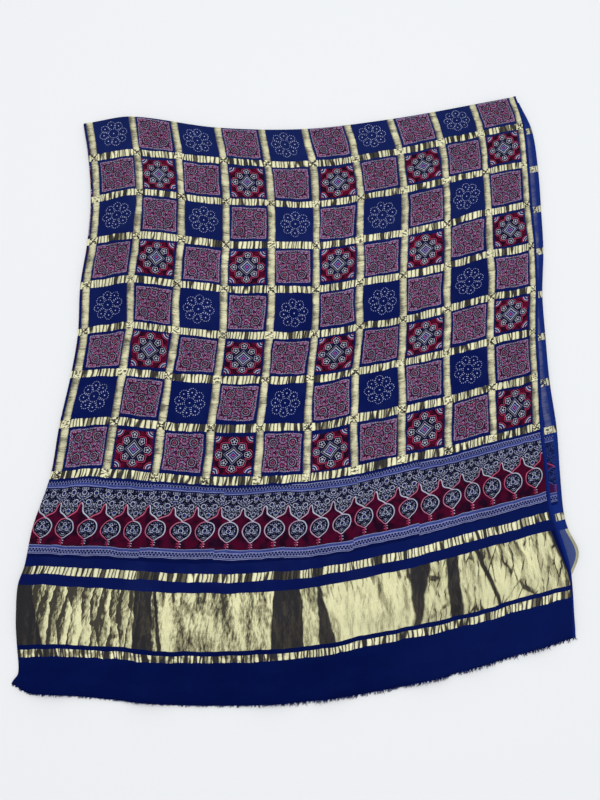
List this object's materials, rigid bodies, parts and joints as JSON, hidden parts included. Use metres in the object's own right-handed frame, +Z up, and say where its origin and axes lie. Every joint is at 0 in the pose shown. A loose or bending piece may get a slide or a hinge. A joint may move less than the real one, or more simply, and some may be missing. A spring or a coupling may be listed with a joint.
{
  "type": "folded ajrakh cloth",
  "caption": "Woven cloth with gold checks, a block-printed border and a wide gold end band, folded double lengthwise and once crosswise, lying flat with its frayed raw end showing",
  "frame": {"origin": "the middle of the footprint, on the surface that the cloth rests on", "axes": "+Z is up, through the pile of layers; +Y runs up the cloth from its raw end to the crosswise fold; +X runs across it from the lengthwise fold to the selvedges"},
  "size_m": [0.5962, 0.7274, 0.0113],
  "materials": {
    "cloth": "navy plain weave with gold checks and printed squares",
    "frayed_end": "loose navy thread"
  },
  "bodies": {
    "root": {"cloth": "cloth", "frayed_end": "frayed_end"}
  },
  "joints": []
}
